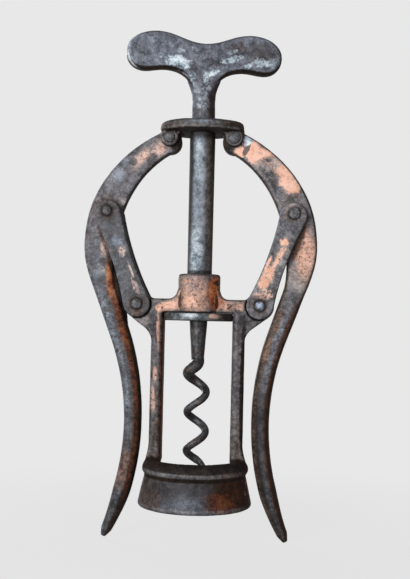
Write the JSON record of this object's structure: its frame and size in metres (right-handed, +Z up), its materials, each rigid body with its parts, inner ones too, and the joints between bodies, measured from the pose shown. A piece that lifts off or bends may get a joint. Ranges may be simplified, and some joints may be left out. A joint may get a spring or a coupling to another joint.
{
  "type": "double lever corkscrew",
  "caption": "Double lever corkscrew with a bell frame, a screw on a plain shank, a lobed turning handle, and curved levers linked to the frame that draw the cork.",
  "frame": {"origin": "centre of the seat inside the bell, at the top end of the bore that takes the bottle's lip", "axes": "+Z up along the screw, +X towards the right lever as seen from the front, -Y towards the viewer"},
  "size_m": [0.0856, 0.0414, 0.1862],
  "materials": {
    "casting": "dark patina over a worn copper wash",
    "collar": "dark brown patina",
    "handle": "mottled gunmetal plating, worn bright in patches",
    "shank": "rubbed steel",
    "disc": "bright edge, dull faces",
    "worm": "dark steel",
    "lever": "dark patina worn to copper",
    "link": "dark patina worn to copper",
    "rivet": "dull steel"
  },
  "bodies": {
    "frame": {"frame": "casting", "frame_rivet_left": "rivet", "frame_rivet_right": "rivet"},
    "collar": {"collar": "collar", "collar_rivet_left": "rivet", "collar_rivet_right": "rivet"},
    "screw": {"handle": "handle", "shank": "shank", "stop_disc": "disc", "worm": "worm"},
    "lever_left": {"lever_left": "lever"},
    "lever_right": {"lever_right": "lever"},
    "links_left": {"link_left_front": "link", "link_left_back": "link", "elbow_rivet_left": "rivet"},
    "links_right": {"link_right_front": "link", "link_right_back": "link", "elbow_rivet_right": "rivet"}
  },
  "joints": [
    {"name": "collar_slide", "type": "slide", "parent": "frame", "child": "collar", "axis": [0, 0, -1], "range_m": [0, 0.038]},
    {"name": "screw_turn", "type": "hinge", "parent": "collar", "child": "screw", "pos_m": [0, 0, 0.1295], "axis": [0, 0, 1], "continuous": true},
    {"name": "lever_left_swing", "type": "hinge", "parent": "collar", "child": "lever_left", "pos_m": [-0.0119, 0, 0.1252], "axis": [0, 1, 0], "range_deg": [0, 55.4]},
    {"name": "lever_right_swing", "type": "hinge", "parent": "collar", "child": "lever_right", "pos_m": [0.0119, 0, 0.1252], "axis": [0, -1, 0], "range_deg": [0, 55.4]},
    {"name": "link_left_swing", "type": "hinge", "parent": "frame", "child": "links_left", "pos_m": [-0.0224, 0, 0.0641], "axis": [0, -1, 0], "range_deg": [0, 24.3]},
    {"name": "link_right_swing", "type": "hinge", "parent": "frame", "child": "links_right", "pos_m": [0.0224, 0, 0.0641], "axis": [0, 1, 0], "range_deg": [0, 24.3]}
  ],
  "couplings": [
    {"joint": "lever_left_swing", "follows": "collar_slide", "rad_per_m": 25.427},
    {"joint": "lever_right_swing", "follows": "collar_slide", "rad_per_m": 25.427},
    {"joint": "link_left_swing", "follows": "collar_slide", "rad_per_m": 11.116},
    {"joint": "link_right_swing", "follows": "collar_slide", "rad_per_m": 11.116}
  ]
}
